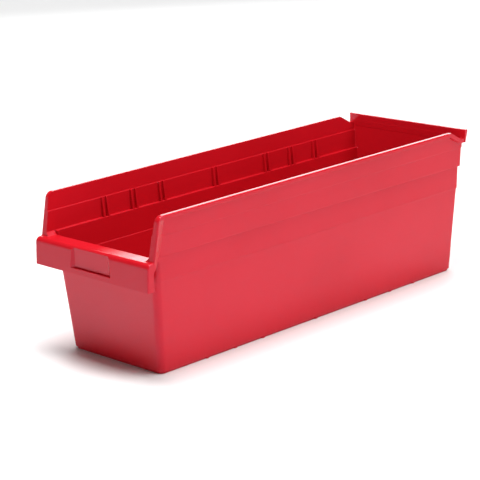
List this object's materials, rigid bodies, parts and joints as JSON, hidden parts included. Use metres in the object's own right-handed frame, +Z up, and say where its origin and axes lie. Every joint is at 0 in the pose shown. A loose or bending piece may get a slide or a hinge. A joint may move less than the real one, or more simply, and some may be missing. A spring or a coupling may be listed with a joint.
{
  "type": "shelf bin",
  "caption": "Long open-top plastic storage bin with stepped tapered walls, low hopper front with label recess, divider slots and rear hanging lip.",
  "frame": {"origin": "middle of the bin's plan, on the surface that it stands on", "axes": "+Z up, the low hopper front faces -Y, +Y along the bin's length to the rear lip, +X to the right seen from the front"},
  "size_m": [0.215, 0.6, 0.205],
  "materials": {
    "red_plastic": "satin-gloss injection-moulded polypropylene"
  },
  "bodies": {
    "root": {"shelf_bin": "red_plastic"}
  },
  "joints": []
}
